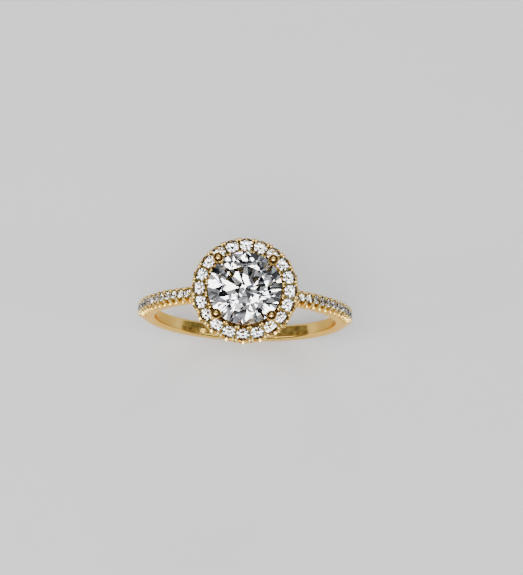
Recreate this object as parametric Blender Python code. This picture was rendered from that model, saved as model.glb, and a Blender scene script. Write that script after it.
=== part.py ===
"""Halo engagement ring: pave band, four-claw basket, round halo and its stones.

The origin is the centre of the finger hole. The finger runs along Y, the band lies in the
XZ plane and the head points along +Z. Sizes are in metres, written as a number of millimetres.
"""

import math

import bmesh
import bpy
from mathutils import Matrix, Vector

MM = 0.001
FULL_TURN = 2 * math.pi

# ---- Driving dimensions ---------------------------------------------------------------------

SOLDER_GAP = 0.02 * MM            # clearance left at every soldered or set joint

# Band
FINGER_RADIUS = 8.40 * MM         # finger hole, a US size 6 1/2
PAVE_RADIUS = 10.00 * MM          # outside of the pave shoulders
PLAIN_RADIUS = 9.85 * MM          # outside of the plain lower band
BAND_TOP_WIDTH = 0.88 * MM        # between the two top edges of the pave
BAND_WIDTH = 1.44 * MM            # widest, half way down the sides
BAND_STEP = math.radians(4.6)     # from one band stone to the next
BAND_STONES = 13                  # on each shoulder
FIRST_BAND_STONE = math.radians(26.5)
BAND_STONE_RADIUS = 0.38 * MM
BAND_STONE_GIRDLE = 0.03 * MM
BAND_GIRDLE_DEPTH = 0.04 * MM     # how far the girdles lie below the band's surface
BAND_CUT_RADIUS = 0.27 * MM       # half the width of the U-cuts beside each band stone
BAND_CUT_DEPTH = 0.45 * MM        # how far the centres of their round ends lie below the surface
BAND_WEB = 0.70 * MM              # metal left under the stones, between the cuts of both sides

# Centre stone
CENTRE_RADIUS = 3.25 * MM
CENTRE_GIRDLE = 0.22 * MM
CENTRE_HEIGHT = 11.40 * MM        # its girdle plane

# Facet proportions that all the round brilliants share
TABLE_RATIO = 0.57
CROWN_SLOPE = math.tan(math.radians(34.5))
PAVILION_SLOPE = math.tan(math.radians(40.8))
SEAT_SLOPE = math.tan(math.radians(43.5))
LOWER_HALF_RATIO = 0.23           # how near the lower halves come to the culet

# Halo
HALO_STONES = 20
HALO_PITCH_RADIUS = 4.05 * MM
HALO_STONE_RADIUS = 0.565 * MM
HALO_STONE_GIRDLE = 0.04 * MM
HALO_TOP = 10.90 * MM
HALO_BOTTOM = 9.75 * MM
HALO_INNER_RADIUS = 3.08 * MM
HALO_TOP_RADIUS = 4.60 * MM
HALO_LIP_RADIUS = 4.70 * MM
HALO_LIP_HEIGHT = 10.32 * MM
HALO_FOOT_RADIUS = 4.42 * MM
HALO_CUT_RADIUS = 0.42 * MM       # U-cuts in the outer wall
HALO_CUT_HEIGHT = 10.76 * MM      # height of their centres

# Basket
BASE_INNER_RADIUS = 1.60 * MM
BASE_OUTER_RADIUS = 2.45 * MM
BASE_TOP = 9.25 * MM
RAIL_INNER_RADIUS = 1.90 * MM
RAIL_OUTER_RADIUS = 2.70 * MM
RAIL_BOTTOM = 9.76 * MM
RAIL_TOP = 10.10 * MM

# Claws
CLAW_WIRE_RADIUS = 0.38 * MM
CLAW_BALL_RADIUS = 0.48 * MM
CLAW_FOOT = (2.05 * MM, BASE_TOP + SOLDER_GAP)      # distance from the head's axis, height
CLAW_SHOULDER = (3.20 * MM, 10.90 * MM)
CLAW_TIP = (3.48 * MM, 11.93 * MM)
CLAW_BEND = 0.30 * MM                               # how far the bend's tangents reach
CLAW_TIP_LEAN = math.radians(10)                    # inward lean of the wire at its ball
CLAW_ANGLES = {"ne": 46, "nw": 134, "sw": 226, "se": 314}


# ---- Materials ------------------------------------------------------------------------------

def principled(name, colour, roughness, metallic, transmission=0.0, ior=1.45):
    """One Principled material with plain values."""
    material = bpy.data.materials.new(name)
    material.use_nodes = True
    shader = material.node_tree.nodes["Principled BSDF"]
    shader.inputs["Base Color"].default_value = (*colour, 1.0)
    shader.inputs["Roughness"].default_value = roughness
    shader.inputs["Metallic"].default_value = metallic
    shader.inputs["Transmission Weight"].default_value = transmission
    shader.inputs["IOR"].default_value = ior
    return material


def gold(name):
    return principled(name, colour=(0.84, 0.58, 0.24), roughness=0.16, metallic=1.0)


def clear_stone(name):
    return principled(name, colour=(0.96, 0.98, 1.0), roughness=0.0, metallic=0.0,
                      transmission=1.0, ior=2.17)


# ---- Building helpers -----------------------------------------------------------------------

def clear_scene():
    for old in list(bpy.data.objects):
        bpy.data.objects.remove(old, do_unlink=True)


def add_object(name, mesh, material):
    """Link a mesh as a named object with its material."""
    piece = bpy.data.objects.new(name, mesh)
    bpy.context.scene.collection.objects.link(piece)
    if not mesh.materials:
        mesh.materials.append(material)
    return piece


def finish_mesh(name, bm, sharp_angle=30):
    """Turn a bmesh into a mesh with outward faces, smooth below the sharp angle."""
    bmesh.ops.recalc_face_normals(bm, faces=bm.faces[:])
    mesh = bpy.data.meshes.new(name)
    bm.to_mesh(mesh)
    bm.free()
    mesh.shade_smooth()
    mesh.set_sharp_from_angle(angle=math.radians(sharp_angle))
    return mesh


def add_cutter(name, bm):
    """A closed solid that only cuts the others, so it is hidden from renders."""
    cutter = bpy.data.objects.new(name, finish_mesh(name, bm))
    bpy.context.scene.collection.objects.link(cutter)
    cutter.hide_render = True
    cutter.display_type = "WIRE"
    return cutter


def cut(piece, *cutters):
    for cutter in cutters:
        boolean = piece.modifiers.new(cutter.name, "BOOLEAN")
        boolean.operation = "DIFFERENCE"
        boolean.solver = "EXACT"
        boolean.object = cutter


def polar(radius, angle, height):
    """A point at a distance from the Z axis, an angle from +X and a height."""
    return Vector((radius * math.cos(angle), radius * math.sin(angle), height))


def bridge(bm, lower, upper):
    """Quads between two rings of vertices that hold the same number."""
    count = len(lower)
    for i in range(count):
        j = (i + 1) % count
        bm.faces.new((lower[i], lower[j], upper[j], upper[i]))


def turned_ring(profile, segments):
    """Spin a closed (radius, height) profile round the Z axis."""
    bm = bmesh.new()
    rings = []
    for step in range(segments):
        angle = FULL_TURN * step / segments
        rings.append([bm.verts.new(polar(radius, angle, height)) for radius, height in profile])
    for step in range(segments):
        bridge(bm, rings[step], rings[(step + 1) % segments])
    return bm


def add_seat(bm, matrix, radius, girdle, corners, collar):
    """A stone's seat cutter: a straight collar over a cone, in the stone's own frame."""
    reach = radius + SOLDER_GAP
    floor = -girdle / 2 - SOLDER_GAP / 2
    angles = [FULL_TURN * i / corners for i in range(corners)]
    top = [bm.verts.new(matrix @ polar(reach, a, collar)) for a in angles]
    seat = [bm.verts.new(matrix @ polar(reach, a, floor)) for a in angles]
    point = bm.verts.new(matrix @ Vector((0, 0, floor - reach * SEAT_SLOPE)))
    bm.faces.new(top)
    bridge(bm, seat, top)
    for i in range(corners):
        bm.faces.new((seat[i], seat[(i + 1) % corners], point))


def add_rod(bm, matrix, radius, start, end, corners):
    """A rod along the frame's Z axis, from start to end."""
    middle = matrix @ Matrix.Translation((0, 0, (start + end) / 2))
    bmesh.ops.create_cone(bm, cap_ends=True, segments=corners, radius1=radius, radius2=radius,
                          depth=end - start, matrix=middle)


# ---- Stones ---------------------------------------------------------------------------------

def plane_height(a, b, c, x, y):
    """Height above (x, y) of the plane through three points."""
    normal = (b - a).cross(c - a)
    return a.z - (normal.x * (x - a.x) + normal.y * (y - a.y)) / normal.z


def brilliant(name, radius, girdle, chords):
    """Round brilliant with 57 facets, its girdle plane at z = 0 and its table facing +Z.

    The mains and bezels keep the pavilion and crown slopes. Every other facet hangs between
    their corners. The girdle has that many chords between neighbouring facet corners.
    """
    eighth = FULL_TURN / 8
    table_radius = TABLE_RATIO * radius
    star_radius = (table_radius * math.cos(eighth / 2) + radius) / 2
    low_radius = LOWER_HALF_RATIO * radius

    def crown(r, off_axis):
        return girdle / 2 + (radius - r * math.cos(off_axis)) * CROWN_SLOPE

    def pavilion(r, off_axis):
        return -girdle / 2 - (radius - r * math.cos(off_axis)) * PAVILION_SLOPE

    star_points = [polar(star_radius, (k + 0.5) * eighth, crown(star_radius, eighth / 2))
                   for k in range(8)]
    low_points = [polar(low_radius, (k + 0.5) * eighth, pavilion(low_radius, eighth / 2))
                  for k in range(8)]

    bm = bmesh.new()
    table = [bm.verts.new(polar(table_radius, k * eighth, crown(table_radius, 0)))
             for k in range(8)]
    star = [bm.verts.new(point) for point in star_points]
    low = [bm.verts.new(point) for point in low_points]
    culet = bm.verts.new((0, 0, pavilion(0, 0)))

    # Each girdle point lies where the plane of its facet meets the stone's round side.
    rim, keel = [], []
    for i in range(16 * chords):
        facet, sector = i // chords, i // (2 * chords)
        at = polar(radius, i * eighth / 2 / chords, 0)
        for ring, level, apex in ((rim, girdle / 2, star_points), (keel, -girdle / 2, low_points)):
            a = polar(radius, facet * eighth / 2, level)
            b = polar(radius, (facet + 1) * eighth / 2, level)
            height = plane_height(a, b, apex[sector], at.x, at.y)
            ring.append(bm.verts.new((at.x, at.y, height)))

    bm.faces.new(table)
    bridge(bm, keel, rim)
    for k in range(8):
        after = (k + 1) % 8
        corner = 2 * chords * k
        bm.faces.new((table[k], star[k], table[after]))
        bm.faces.new((star[k - 1], rim[corner], star[k], table[k]))
        bm.faces.new((low[k], keel[corner], low[k - 1], culet))
        for half in range(2):
            span = [(corner + half * chords + c) % len(rim) for c in range(chords + 1)]
            bm.faces.new([star[k]] + [rim[i] for i in span])
            bm.faces.new([low[k]] + [keel[i] for i in reversed(span)])
    return finish_mesh(name, bm, sharp_angle=1)


def single_cut(name, radius, girdle):
    """Single-cut stone: an octagonal table, eight crown and eight pavilion facets."""
    table_radius = TABLE_RATIO * radius
    table_height = girdle / 2 + (radius - table_radius) * CROWN_SLOPE
    angles = [FULL_TURN * k / 8 for k in range(8)]
    bm = bmesh.new()
    table = [bm.verts.new(polar(table_radius, a, table_height)) for a in angles]
    rim = [bm.verts.new(polar(radius, a, girdle / 2)) for a in angles]
    keel = [bm.verts.new(polar(radius, a, -girdle / 2)) for a in angles]
    culet = bm.verts.new((0, 0, -girdle / 2 - radius * PAVILION_SLOPE))
    bm.faces.new(table)
    bridge(bm, rim, table)
    bridge(bm, keel, rim)
    for k in range(8):
        bm.faces.new((keel[k], keel[(k + 1) % 8], culet))
    return finish_mesh(name, bm, sharp_angle=1)


def halo_stone_places():
    """Location and turn about Z of each halo stone, starting at +X."""
    height = HALO_TOP - HALO_STONE_GIRDLE / 2
    for i in range(HALO_STONES):
        angle = FULL_TURN * i / HALO_STONES
        yield polar(HALO_PITCH_RADIUS, angle, height), angle


def band_stone_angles():
    """Angles from the top of the ring to the stones of one shoulder."""
    return [FIRST_BAND_STONE + i * BAND_STEP for i in range(BAND_STONES)]


def band_frame(angle, radius):
    """A frame on the band whose Z axis points away from the finger."""
    return Matrix.Rotation(angle, 4, "Y") @ Matrix.Translation((0, 0, radius))


def build_stones():
    material = clear_stone("cubic_zirconia")
    centre = add_object("centre_stone", brilliant("centre_stone", CENTRE_RADIUS, CENTRE_GIRDLE, 2),
                        material)
    centre.location = (0, 0, CENTRE_HEIGHT)

    halo_mesh = brilliant("halo_stone", HALO_STONE_RADIUS, HALO_STONE_GIRDLE, 1)
    for number, (place, turn) in enumerate(halo_stone_places(), start=1):
        stone = add_object(f"halo_stone_{number:02d}", halo_mesh, material)
        stone.location = place
        stone.rotation_euler = (0, 0, turn)

    band_mesh = single_cut("band_stone", BAND_STONE_RADIUS, BAND_STONE_GIRDLE)
    girdle_radius = PAVE_RADIUS - BAND_GIRDLE_DEPTH
    for side, sign in (("right", 1), ("left", -1)):
        for number, angle in enumerate(band_stone_angles(), start=1):
            stone = add_object(f"band_stone_{side}_{number:02d}", band_mesh, material)
            stone.location = band_frame(sign * angle, girdle_radius).translation
            stone.rotation_euler = (0, sign * angle, 0)


# ---- Claws ----------------------------------------------------------------------------------

def claw_path():
    """Points (distance, height), directions and wire radii from the foot to the ball's top."""
    foot, shoulder, tip = (Vector(p) for p in (CLAW_FOOT, CLAW_SHOULDER, CLAW_TIP))
    leg = (shoulder - foot).normalized()
    lean = Vector((-math.sin(CLAW_TIP_LEAN), math.cos(CLAW_TIP_LEAN)))
    sections = [(foot, Vector((0, 1)), CLAW_WIRE_RADIUS)]

    # The wire bends over the girdle on a cubic curve that ends inside the ball.
    ball_start = math.sqrt(CLAW_BALL_RADIUS ** 2 - CLAW_WIRE_RADIUS ** 2)
    end = tip - lean * ball_start
    first, second = shoulder + leg * CLAW_BEND, end - lean * CLAW_BEND
    bends = 5
    for i in range(bends + 1):
        t = i / bends
        s = 1 - t
        point = s ** 3 * shoulder + 3 * s * s * t * first + 3 * s * t * t * second + t ** 3 * end
        way = s * s * (first - shoulder) + 2 * s * t * (second - first) + t * t * (end - second)
        sections.append((point, way.normalized(), CLAW_WIRE_RADIUS))

    # The ball is a stack of circles along the lean, ending short of its pole.
    start_angle = math.acos(-ball_start / CLAW_BALL_RADIUS)
    slices = 5
    for i in range(1, slices + 1):
        angle = start_angle * (1 - i / (slices + 0.5))
        centre = tip + lean * CLAW_BALL_RADIUS * math.cos(angle)
        sections.append((centre, lean, CLAW_BALL_RADIUS * math.sin(angle)))
    return sections, tip + lean * CLAW_BALL_RADIUS


def add_claw(bm, angle, grow=0.0, sides=12):
    """One claw as a wire of round sections. Growing it gives the cutter for its notch."""
    sections, pole = claw_path()
    outward = polar(1, angle, 0)
    sideways = polar(1, angle + math.pi / 2, 0)
    up = Vector((0, 0, 1))
    rings = []
    for place, way, radius in sections:
        centre = outward * place.x + up * place.y
        across = outward * way.y - up * way.x
        ring = []
        for i in range(sides):
            turn = FULL_TURN * i / sides
            spoke = across * math.cos(turn) + sideways * math.sin(turn)
            ring.append(bm.verts.new(centre + spoke * (radius + grow)))
        rings.append(ring)
    for lower, upper in zip(rings, rings[1:]):
        bridge(bm, lower, upper)
    bm.faces.new(rings[0])
    top = bm.verts.new(outward * pole.x + up * (pole.y + grow))
    for i in range(sides):
        bm.faces.new((rings[-1][i], rings[-1][(i + 1) % sides], top))


def build_claws(stone_cutter):
    material = gold("claw_gold")
    for corner, degrees in CLAW_ANGLES.items():
        bm = bmesh.new()
        add_claw(bm, math.radians(degrees))
        name = f"claw_{corner}"
        claw = add_object(name, finish_mesh(name, bm, sharp_angle=40), material)
        cut(claw, stone_cutter)


def claw_notch_cutter():
    bm = bmesh.new()
    for degrees in CLAW_ANGLES.values():
        add_claw(bm, math.radians(degrees), grow=SOLDER_GAP)
    return add_cutter("claw_notches", bm)


def centre_stone_cutter():
    """The centre stone grown by the solder gap, which cuts the girdle notch in each claw."""
    radius = CENTRE_RADIUS + SOLDER_GAP
    table_radius = TABLE_RATIO * radius
    rise = CENTRE_GIRDLE / 2 + SOLDER_GAP
    profile = [
        (table_radius, CENTRE_HEIGHT + rise + (radius - table_radius) * CROWN_SLOPE),
        (radius, CENTRE_HEIGHT + rise),
        (radius, CENTRE_HEIGHT - rise),
    ]
    segments = 48
    bm = bmesh.new()
    rings = [[bm.verts.new(polar(r, FULL_TURN * i / segments, z)) for i in range(segments)]
             for r, z in profile]
    for upper, lower in zip(rings, rings[1:]):
        bridge(bm, lower, upper)
    bm.faces.new(rings[0])
    culet = bm.verts.new((0, 0, CENTRE_HEIGHT - rise - radius * PAVILION_SLOPE))
    for i in range(segments):
        bm.faces.new((rings[-1][i], rings[-1][(i + 1) % segments], culet))
    return add_cutter("centre_stone_room", bm)


# ---- Halo and basket ------------------------------------------------------------------------

def halo_seat_cutter():
    bm = bmesh.new()
    for place, turn in halo_stone_places():
        frame = Matrix.Translation(place) @ Matrix.Rotation(turn, 4, "Z")
        add_seat(bm, frame, HALO_STONE_RADIUS, HALO_STONE_GIRDLE, corners=16,
                 collar=HALO_STONE_RADIUS)
    return add_cutter("halo_seats", bm)


def halo_wall_cutter():
    """Rods that point at the axis and open the wall below the edge of each halo stone."""
    bm = bmesh.new()
    reach = HALO_LIP_RADIUS - HALO_PITCH_RADIUS
    for i in range(HALO_STONES):
        turn = Matrix.Rotation(FULL_TURN * i / HALO_STONES, 4, "Z")
        lie = Matrix.Rotation(math.pi / 2, 4, "Y")
        frame = turn @ Matrix.Translation((HALO_PITCH_RADIUS, 0, HALO_CUT_HEIGHT)) @ lie
        add_rod(bm, frame, HALO_CUT_RADIUS, 0.5 * reach, 2 * reach, corners=12)
    return add_cutter("halo_u_cuts", bm)


def build_halo(claw_notches):
    profile = [
        (HALO_INNER_RADIUS, HALO_BOTTOM),
        (HALO_FOOT_RADIUS, HALO_BOTTOM),
        (HALO_LIP_RADIUS, HALO_LIP_HEIGHT),
        (HALO_TOP_RADIUS, HALO_TOP),
        (HALO_INNER_RADIUS, HALO_TOP),
    ]
    mesh = finish_mesh("halo_plate", turned_ring(profile, segments=4 * HALO_STONES))
    plate = add_object("halo_plate", mesh, gold("halo_gold"))
    cut(plate, halo_wall_cutter(), halo_seat_cutter(), claw_notches)


def finger_cutter():
    """The finger hole as a rod along Y, long enough to clear the basket."""
    bm = bmesh.new()
    along_y = Matrix.Rotation(math.pi / 2, 4, "X")
    add_rod(bm, along_y, FINGER_RADIUS, -BASE_OUTER_RADIUS * 2, BASE_OUTER_RADIUS * 2, corners=144)
    return add_cutter("finger_hole", bm)


def build_basket(claw_notches):
    base_profile = [
        (BASE_INNER_RADIUS, FINGER_RADIUS - 0.6 * MM),
        (BASE_OUTER_RADIUS, FINGER_RADIUS - 0.6 * MM),
        (BASE_OUTER_RADIUS, BASE_TOP),
        (BASE_INNER_RADIUS, BASE_TOP),
    ]
    base = add_object("gallery_base", finish_mesh("gallery_base", turned_ring(base_profile, 40)),
                      gold("basket_gold"))
    cut(base, finger_cutter())

    rail_profile = [
        (RAIL_INNER_RADIUS, RAIL_BOTTOM),
        (RAIL_OUTER_RADIUS, RAIL_BOTTOM),
        (RAIL_OUTER_RADIUS, RAIL_TOP),
        (RAIL_INNER_RADIUS, RAIL_TOP),
    ]
    rail = add_object("gallery_rail", finish_mesh("gallery_rail", turned_ring(rail_profile, 40)),
                      gold("rail_gold"))
    cut(rail, claw_notches)


# ---- Band -----------------------------------------------------------------------------------

def band_profile(plain):
    """Half of the band's section as (radius, width) points, from its crest to its inside.

    At plain = 0 it is the flat-topped pave section with sloping sides, and at plain = 1 the
    half-round section of the lower band.
    """
    top = BAND_TOP_WIDTH / 2
    side = BAND_WIDTH / 2
    pave = [
        (PAVE_RADIUS, 0.0),
        (PAVE_RADIUS, top),
        (PAVE_RADIUS - 0.55 * MM, side - 0.02 * MM),
        (PAVE_RADIUS - 0.80 * MM, side),
        (FINGER_RADIUS + 0.30 * MM, side),
        (FINGER_RADIUS + 0.08 * MM, 0.76 * side),
        (FINGER_RADIUS, 0.0),
    ]
    round_top = [
        (PLAIN_RADIUS, 0.0),
        (PLAIN_RADIUS - 0.12 * MM, 0.52 * side),
        (PLAIN_RADIUS - 0.42 * MM, 0.87 * side),
        (PLAIN_RADIUS - 0.80 * MM, side),
        (FINGER_RADIUS + 0.30 * MM, side),
        (FINGER_RADIUS + 0.08 * MM, 0.76 * side),
        (FINGER_RADIUS, 0.0),
    ]
    return [(a + (c - a) * plain, b + (d - b) * plain)
            for (a, b), (c, d) in zip(pave, round_top)]


def band_stations():
    """Angles from the top, once round from one end to the other, and how plain each one is."""
    opening = math.radians(9.0)
    last_stone = FIRST_BAND_STONE + (BAND_STONES - 1) * BAND_STEP
    fade_start = last_stone + 0.7 * BAND_STEP
    fade_end = fade_start + 4 * BAND_STEP
    steps = 74
    for i in range(steps + 1):
        angle = opening + (FULL_TURN - 2 * opening) * i / steps
        down = min(angle, FULL_TURN - angle)
        t = min(max((down - fade_start) / (fade_end - fade_start), 0.0), 1.0)
        yield angle, t * t * (3 - 2 * t)


def band_seat_cutter():
    bm = bmesh.new()
    for sign in (1, -1):
        for angle in band_stone_angles():
            frame = band_frame(sign * angle, PAVE_RADIUS - BAND_GIRDLE_DEPTH)
            add_seat(bm, frame, BAND_STONE_RADIUS - SOLDER_GAP / 2, BAND_STONE_GIRDLE, corners=8,
                     collar=0.2 * MM)
    return add_cutter("band_seats", bm)


def add_u_cut(bm, frame, radius, depth, near, far, sides=6):
    """A U-shaped prism along the frame's Z axis, open above, with its round end towards -Y."""
    rise = depth + 0.1 * MM
    outline = [(radius, rise), (-radius, rise)]
    for i in range(sides + 1):
        turn = math.pi * (1 + i / sides)
        outline.append((radius * math.cos(turn), radius * math.sin(turn)))
    ends = [[bm.verts.new(frame @ Vector((x, y, z))) for x, y in outline] for z in (near, far)]
    bridge(bm, *ends)
    for end in ends:
        bm.faces.new(end)


def band_side_cutter():
    """U-cuts into both sides of the band below each stone, which leave posts between them."""
    bm = bmesh.new()
    upright = Matrix.Rotation(math.pi / 2, 4, "X")
    for side in (1, -1):
        for sign in (1, -1):
            for angle in band_stone_angles():
                frame = band_frame(sign * angle, PAVE_RADIUS - BAND_CUT_DEPTH) @ upright
                near, far = side * BAND_WEB / 2, side * BAND_WIDTH
                add_u_cut(bm, frame, BAND_CUT_RADIUS, BAND_CUT_DEPTH, near, far)
    return add_cutter("band_u_cuts", bm)


def head_room_cutter():
    """The room that the basket's base takes out of the top of the band."""
    bm = bmesh.new()
    add_rod(bm, Matrix.Identity(4), BASE_OUTER_RADIUS + SOLDER_GAP, FINGER_RADIUS * 0.8,
            PAVE_RADIUS * 1.1, corners=80)
    return add_cutter("head_room", bm)


def build_band():
    bm = bmesh.new()
    rings = []
    for angle, plain in band_stations():
        half = band_profile(plain)
        outline = half + [(r, -w) for r, w in reversed(half[1:-1])]
        outward = Vector((math.sin(angle), 0, math.cos(angle)))
        rings.append([bm.verts.new(outward * r + Vector((0, w, 0))) for r, w in outline])
    for before, after in zip(rings, rings[1:]):
        bridge(bm, before, after)
    bm.faces.new(rings[0])
    bm.faces.new(rings[-1])
    band = add_object("shank", finish_mesh("shank", bm), gold("band_gold"))
    cut(band, head_room_cutter(), band_side_cutter(), band_seat_cutter())


def build_ring():
    clear_scene()
    claw_notches = claw_notch_cutter()
    build_band()
    build_basket(claw_notches)
    build_halo(claw_notches)
    build_claws(centre_stone_cutter())
    build_stones()


build_ring()
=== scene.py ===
"""A halo engagement ring: band, basket, claws, halo and stones, on a pale studio floor."""

import bpy
import numpy as np
from mathutils import Matrix, Vector


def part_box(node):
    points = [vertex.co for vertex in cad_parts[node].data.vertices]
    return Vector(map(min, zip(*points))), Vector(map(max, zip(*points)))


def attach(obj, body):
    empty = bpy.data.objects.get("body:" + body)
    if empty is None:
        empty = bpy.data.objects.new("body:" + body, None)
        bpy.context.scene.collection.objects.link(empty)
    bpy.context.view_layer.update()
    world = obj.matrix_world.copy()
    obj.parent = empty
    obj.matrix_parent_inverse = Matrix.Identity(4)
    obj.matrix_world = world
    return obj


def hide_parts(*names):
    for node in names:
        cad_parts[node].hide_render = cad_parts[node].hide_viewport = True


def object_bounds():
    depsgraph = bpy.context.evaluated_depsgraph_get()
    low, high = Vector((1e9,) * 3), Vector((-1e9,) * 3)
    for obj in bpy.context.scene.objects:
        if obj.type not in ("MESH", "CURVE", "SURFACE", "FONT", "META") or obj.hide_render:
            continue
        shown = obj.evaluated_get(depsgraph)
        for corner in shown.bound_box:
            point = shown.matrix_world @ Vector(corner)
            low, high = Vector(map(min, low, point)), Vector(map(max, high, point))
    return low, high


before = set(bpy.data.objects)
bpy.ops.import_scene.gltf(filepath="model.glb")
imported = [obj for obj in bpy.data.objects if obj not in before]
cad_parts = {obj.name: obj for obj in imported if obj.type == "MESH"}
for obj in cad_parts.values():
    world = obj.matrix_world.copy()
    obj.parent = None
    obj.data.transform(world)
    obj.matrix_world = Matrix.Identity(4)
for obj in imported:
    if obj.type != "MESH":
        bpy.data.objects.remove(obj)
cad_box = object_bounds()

# ---- Floor, camera and studio lights ----------------------------------------------------------
# A wide sheet of pale matt paper lies under the hoop. One round soft box hangs above the head,
# three strips stand lower round it, and small lamps between them give the stones their sparks.

MM = 0.001
hoop_bottom = cad_box[0][2]
head_centre = Vector((0, 0, 11.0 * MM))


def direction(azimuth, elevation):
    """The way from the head towards a viewer: azimuth 0 stands on the -Y side."""
    around, up = np.radians(azimuth), np.radians(elevation)
    return Vector((np.sin(around) * np.cos(up), -np.cos(around) * np.cos(up), np.sin(up)))


def facing(place, target, roll=0.0):
    """The matrix of a camera or lamp at place that looks at target."""
    turn = (target - place).to_track_quat("-Z", "Y").to_matrix().to_4x4()
    return Matrix.Translation(place) @ turn @ Matrix.Rotation(roll, 4, "Z")


def add_object(name, data):
    """A new object at the origin, in the scene."""
    piece = bpy.data.objects.new(name, data)
    bpy.context.scene.collection.objects.link(piece)
    return piece


def plain_material(name):
    """A new node material, its tree and its Principled shader."""
    material = bpy.data.materials.new(name)
    material.use_nodes = True
    return material, material.node_tree, material.node_tree.nodes["Principled BSDF"]


camera_data = bpy.data.cameras.new("camera")
camera = add_object("camera", camera_data)
CAMERA_DISTANCE = 150 * MM
FIELD_HEIGHT = 50.44 * MM         # what the view's long side covers at the head
camera_data.sensor_width = 36.0
camera_data.lens = camera_data.sensor_width * CAMERA_DISTANCE / FIELD_HEIGHT
camera_data.clip_start = 0.01
view_way = direction(0.62, 77.2)
camera_roll = np.radians(1.47)
level = facing(head_centre + view_way * CAMERA_DISTANCE, head_centre, camera_roll)
aim_offset = level.to_3x3() @ Vector((1.465 * MM, 0.14 * MM, 0))
camera.matrix_world = Matrix.Translation(aim_offset) @ level
bpy.context.scene.camera = camera

FLOOR_REACH = 0.6
floor_mesh = bpy.data.meshes.new("floor")
floor_corners = [(-1, -1), (1, -1), (1, 1), (-1, 1)]
floor_mesh.from_pydata([(x * FLOOR_REACH, y * FLOOR_REACH, hoop_bottom) for x, y in floor_corners],
                       [], [(0, 1, 2, 3)])
floor = add_object("floor", floor_mesh)
floor_paper, _, paper_shader = plain_material("floor_paper")
paper_shader.inputs["Base Color"].default_value = (0.88, 0.875, 0.865, 1)
paper_shader.inputs["Roughness"].default_value = 0.75
floor_mesh.materials.append(floor_paper)


LAMP_DISTANCE = 300 * MM


def soft_box(name, azimuth, elevation, width, height, radiance, colour=(1, 1, 1)):
    """A lamp that faces the head from its distance: a rectangle, or a disk if height is None.

    Its power is the radiance times pi times its area.
    """
    lamp = bpy.data.lights.new(name, "AREA")
    lamp.shape = "DISK" if height is None else "RECTANGLE"
    lamp.size = width
    lamp.size_y = height or width
    area = np.pi * width ** 2 / 4 if height is None else width * height
    lamp.energy = radiance * np.pi * area
    lamp.color = colour
    stand = add_object(name, lamp)
    place = head_centre + direction(azimuth, elevation) * LAMP_DISTANCE
    stand.matrix_world = facing(place, head_centre)


soft_box("overhead_disk", -20, 74, 0.20, None, 8.5)
soft_box("left_strip", -75, 33, 0.05, 0.18, 5.0, (1.0, 0.96, 0.90))
soft_box("right_strip", 75, 36, 0.04, 0.16, 5.0, (0.90, 0.95, 1.0))
soft_box("back_strip", 175, 40, 0.16, 0.04, 5.0)

# Each spark lamp turns a golden angle on from the last and stands a little lower.
spark_tints = [(1, 1, 1), (0.55, 0.70, 1.0), (1, 1, 1), (1.0, 0.82, 0.60), (1, 1, 1),
               (0.72, 0.62, 1.0)]
for number in range(36):
    azimuth, elevation = 20 + 137.5 * number, 62 - 1.0 * number
    soft_box(f"spark_{number}", azimuth, elevation, 0.020, 0.020, 9, spark_tints[number % 6])

# The room is dim and patchy, and only its wall behind the floor is pale to the camera.
world = bpy.data.worlds.new("studio")
bpy.context.scene.world = world
world.use_nodes = True
sky_nodes, sky_links = world.node_tree.nodes, world.node_tree.links
sky_way = sky_nodes.new("ShaderNodeTexCoord")
sky_patches = sky_nodes.new("ShaderNodeTexNoise")
sky_patches.inputs["Scale"].default_value = 20.0
sky_patches.inputs["Detail"].default_value = 5
sky_ramp = sky_nodes.new("ShaderNodeValToRGB")
sky_ramp.color_ramp.elements[0].position = 0.48
sky_ramp.color_ramp.elements[0].color = (0.012, 0.012, 0.014, 1)
sky_ramp.color_ramp.elements[1].position = 0.56
sky_ramp.color_ramp.elements[1].color = (0.55, 0.57, 0.60, 1)
sky_path = sky_nodes.new("ShaderNodeLightPath")
sky_mix = sky_nodes.new("ShaderNodeMix")
sky_mix.data_type = "RGBA"
sky_mix.inputs["B"].default_value = (1.15, 1.15, 1.15, 1)
sky_links.new(sky_way.outputs["Generated"], sky_patches.inputs["Vector"])
sky_links.new(sky_patches.outputs["Fac"], sky_ramp.inputs["Fac"])
sky_links.new(sky_ramp.outputs["Color"], sky_mix.inputs["A"])
sky_links.new(sky_path.outputs["Is Camera Ray"], sky_mix.inputs["Factor"])
sky_links.new(sky_mix.outputs["Result"], sky_nodes["Background"].inputs["Color"])

# ---- Band -------------------------------------------------------------------------------------
# The hoop is cast in silver and plated yellow gold. Its shoulders have a row of seats, with U
# cuts from both sides that leave a post at each gap, and its lower half is a plain half round.

FINGER_RADIUS = 8.40 * MM
PAVE_RADIUS = 10.00 * MM
PLAIN_RADIUS = 9.85 * MM
BAND_SIDE = 0.72 * MM             # half the band's width
BAND_TOP = 0.44 * MM              # half the width between the pave's top edges
BAND_STEP = np.radians(4.6)
BAND_STONES = 13
FIRST_BAND_STONE = np.radians(26.5)
BAND_STONE_RADIUS = 0.38 * MM
BAND_CUT_HALF = 0.27 * MM         # half the width of a U cut
BAND_CUT_DEPTH = 0.72 * MM        # from the surface to the bottom of the U
BAND_WEB = 0.36 * MM              # half the metal left under the stones
WEB_SLOPE = 0.10                  # how much of the wall's depth is left in a cut's back
CUT_EDGE = 0.05 * MM              # how wide the soft edge at a cut's bottom is
BASE_RADIUS = 2.45 * MM           # outside of the basket's base, which the band's ends meet


def smooth_step(low, high, x):
    """0 below low, 1 above high, and an S curve (3t^2 - 2t^3) between them."""
    t = np.clip((x - low) / (high - low), 0, 1)
    return t * t * (3 - 2 * t)


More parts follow.
